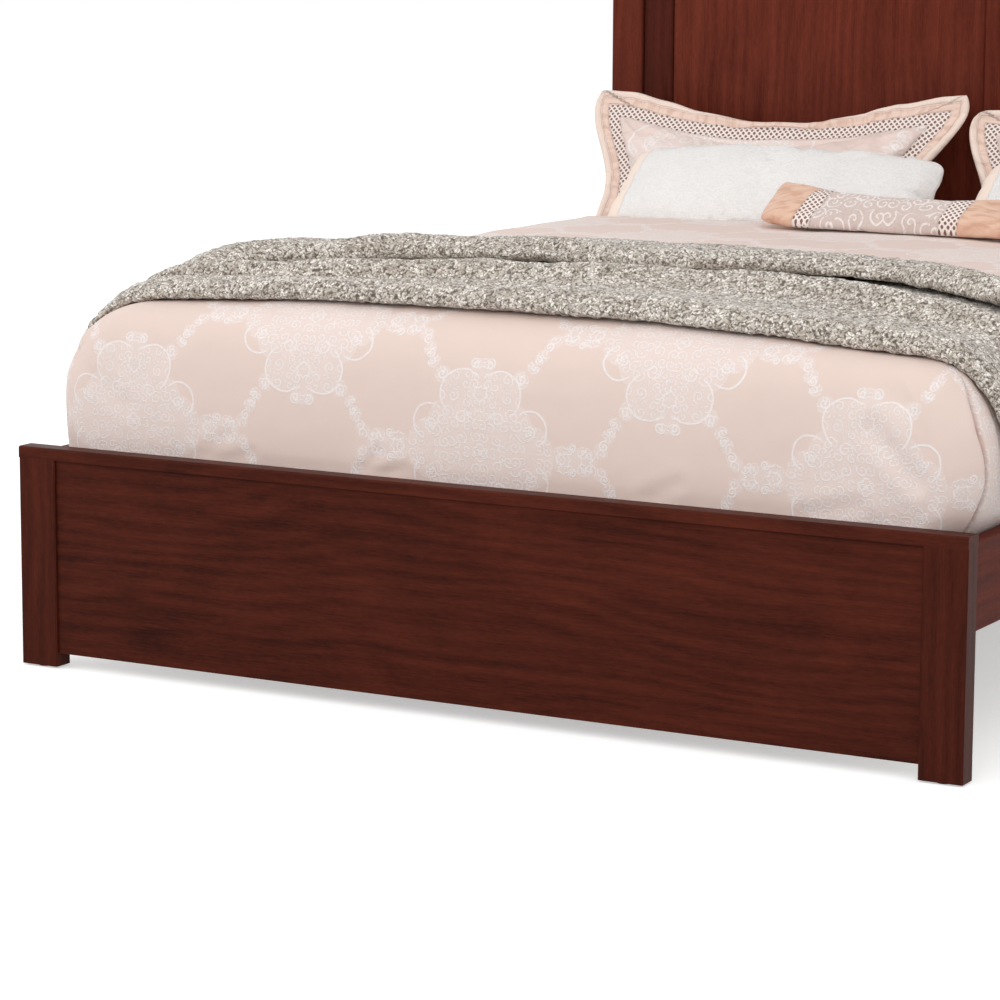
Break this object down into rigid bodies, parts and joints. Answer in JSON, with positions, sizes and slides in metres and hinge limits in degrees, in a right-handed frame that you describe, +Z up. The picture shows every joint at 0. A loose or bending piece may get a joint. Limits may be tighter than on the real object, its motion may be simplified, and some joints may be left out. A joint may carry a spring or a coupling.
{
  "type": "platform bed",
  "caption": "Queen platform bed with panel headboard, low panel footboard, slatted deck, mattress, comforter, throw, shams and pillows.",
  "frame": {"origin": "on the floor, in the middle of the bed's length and width", "axes": "+X across the bed to the right as seen from its foot, +Y toward the headboard, +Z up"},
  "size_m": [1.66, 2.145, 1.24],
  "materials": {
    "cherry_veneer": "satin lacquer over figured dark cherry",
    "pale_softwood": "planed, bare",
    "zinc_steel": "zinc plated",
    "black_plastic": "matt",
    "mattress_ticking": "woven ticking",
    "comforter_damask": "peach satin weave with pale damask scrolls",
    "looped_throw": "grey-beige looped yarn",
    "quilted_sham": "peach quilting with a pale lattice band",
    "nubby_pillow": "white nubby weave",
    "quilted_cushion": "peach quilting with pale bands"
  },
  "bodies": {
    "frame": {"footboard_post_left": "cherry_veneer", "footboard_post_right": "cherry_veneer", "footboard_panel": "cherry_veneer", "footboard_cap": "cherry_veneer", "headboard_post_left": "cherry_veneer", "headboard_post_right": "cherry_veneer", "headboard_stile_left": "cherry_veneer", "headboard_stile_right": "cherry_veneer", "headboard_panel_left": "cherry_veneer", "headboard_panel_right": "cherry_veneer", "headboard_top_strip": "cherry_veneer", "headboard_cap": "cherry_veneer", "side_rail_left": "cherry_veneer", "side_rail_right": "cherry_veneer", "footboard_stretcher": "pale_softwood", "headboard_bottom_rail": "pale_softwood", "headboard_top_rail": "pale_softwood", "headboard_centre_batten": "pale_softwood", "slat_ledge_left": "pale_softwood", "slat_ledge_right": "pale_softwood", "slat_01": "pale_softwood", "slat_02": "pale_softwood", "slat_03": "pale_softwood", "slat_04": "pale_softwood", "slat_05": "pale_softwood", "slat_06": "pale_softwood", "slat_07": "pale_softwood", "slat_08": "pale_softwood", "slat_09": "pale_softwood", "slat_10": "pale_softwood", "slat_11": "pale_softwood", "slat_12": "pale_softwood", "slat_13": "pale_softwood", "centre_beam": "pale_softwood", "centre_leg_front": "pale_softwood", "centre_leg_middle": "pale_softwood", "centre_leg_rear": "pale_softwood", "cap_dowels": "pale_softwood", "beam_hangers": "zinc_steel", "rail_hook_plates": "zinc_steel", "post_slot_plates": "zinc_steel", "leg_bolts": "zinc_steel", "leg_inserts": "zinc_steel", "panel_screws": "zinc_steel", "ledge_screws": "zinc_steel", "slat_screws": "zinc_steel", "bracket_screws": "zinc_steel", "post_glides": "black_plastic"},
    "mattress": {"mattress": "mattress_ticking"},
    "comforter": {"comforter": "comforter_damask"},
    "throw": {"throw": "looped_throw"},
    "sham_right": {"sham_right": "quilted_sham"},
    "sham_left": {"sham_left": "quilted_sham"},
    "pillow_right": {"pillow_right": "nubby_pillow"},
    "pillow_left": {"pillow_left": "nubby_pillow"},
    "lumbar_cushion": {"lumbar_cushion": "quilted_cushion"},
    "glide_front": {"glide_front": "black_plastic"},
    "glide_middle": {"glide_middle": "black_plastic"},
    "glide_rear": {"glide_rear": "black_plastic"}
  },
  "joints": [
    {"name": "mattress_lift", "type": "slide", "parent": "frame", "child": "mattress", "axis": [0, 0, 1], "range_m": [0, 0.3]},
    {"name": "comforter_lift", "type": "slide", "parent": "mattress", "child": "comforter", "axis": [0, 0, 1], "range_m": [0, 0.32]},
    {"name": "throw_lift", "type": "slide", "parent": "comforter", "child": "throw", "axis": [0, 0, 1], "range_m": [0, 0.25]},
    {"name": "sham_right_lift", "type": "slide", "parent": "comforter", "child": "sham_right", "axis": [0, 0, 1], "range_m": [0, 0.3]},
    {"name": "sham_left_lift", "type": "slide", "parent": "sham_right", "child": "sham_left", "axis": [0, 0, 1], "range_m": [0, 0.3]},
    {"name": "pillow_right_lift", "type": "slide", "parent": "sham_left", "child": "pillow_right", "axis": [0, 0, 1], "range_m": [0, 0.25]},
    {"name": "pillow_left_lift", "type": "slide", "parent": "pillow_right", "child": "pillow_left", "axis": [0, 0, 1], "range_m": [0, 0.25]},
    {"name": "lumbar_cushion_lift", "type": "slide", "parent": "pillow_left", "child": "lumbar_cushion", "axis": [0, 0, 1], "range_m": [0, 0.2]},
    {"name": "glide_front_travel", "type": "slide", "parent": "frame", "child": "glide_front", "axis": [0, 0, 1], "range_m": [-0.01, 0]},
    {"name": "glide_middle_travel", "type": "slide", "parent": "frame", "child": "glide_middle", "axis": [0, 0, 1], "range_m": [-0.01, 0]},
    {"name": "glide_rear_travel", "type": "slide", "parent": "frame", "child": "glide_rear", "axis": [0, 0, 1], "range_m": [-0.01, 0]}
  ]
}
